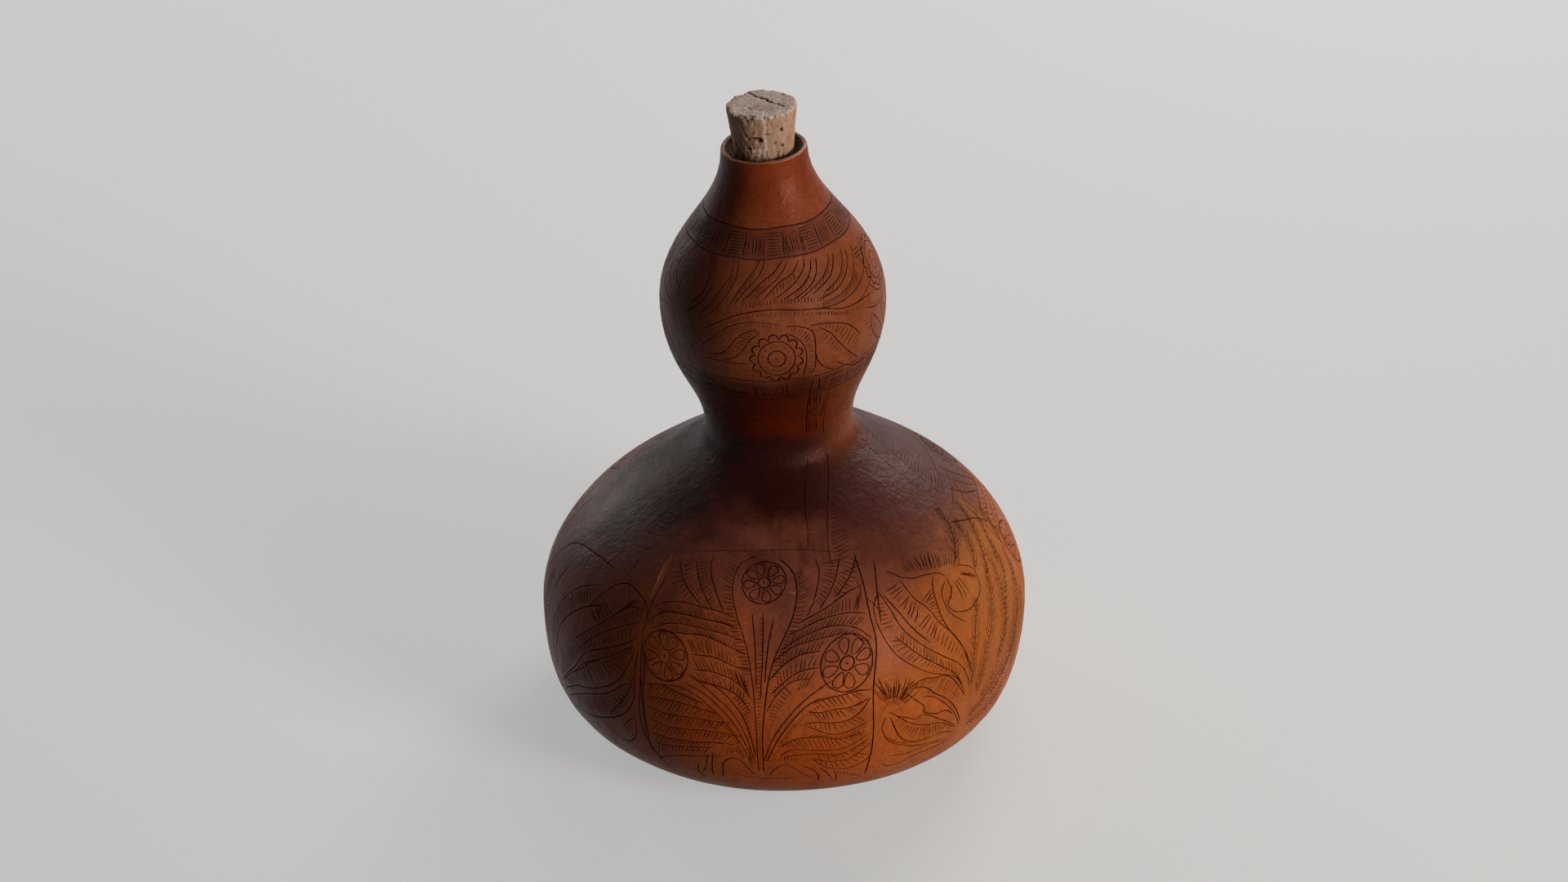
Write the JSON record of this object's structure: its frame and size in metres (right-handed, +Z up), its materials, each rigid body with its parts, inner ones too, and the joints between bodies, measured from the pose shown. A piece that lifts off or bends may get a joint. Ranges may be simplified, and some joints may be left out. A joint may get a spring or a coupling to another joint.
{
  "type": "calabash flask",
  "caption": "Flask made from a dried double-bodied bottle gourd, with a broad belly, a narrow waist, an upper bulb, engraved rind and a tapered cork in its mouth.",
  "frame": {"origin": "centre of the worn flat under the belly, on the surface that the flask stands on", "axes": "+Z up along the flask, the engraved front panel faces -Y, and the neck leans slightly to -X"},
  "size_m": [0.1644, 0.1637, 0.224],
  "materials": {
    "rind": "dried gourd rind, stained red-brown and rubbed to a gloss, with fine engraved lines",
    "cork": "natural cork, matte, with dark pores and a cracked top"
  },
  "bodies": {
    "flask": {"gourd_shell": "rind"},
    "stopper": {"cork_stopper": "cork"}
  },
  "joints": [
    {"name": "cork_lift", "type": "slide", "parent": "flask", "child": "stopper", "axis": [-0.0506, 0, 0.9987], "range_m": [0, 0.04]}
  ]
}
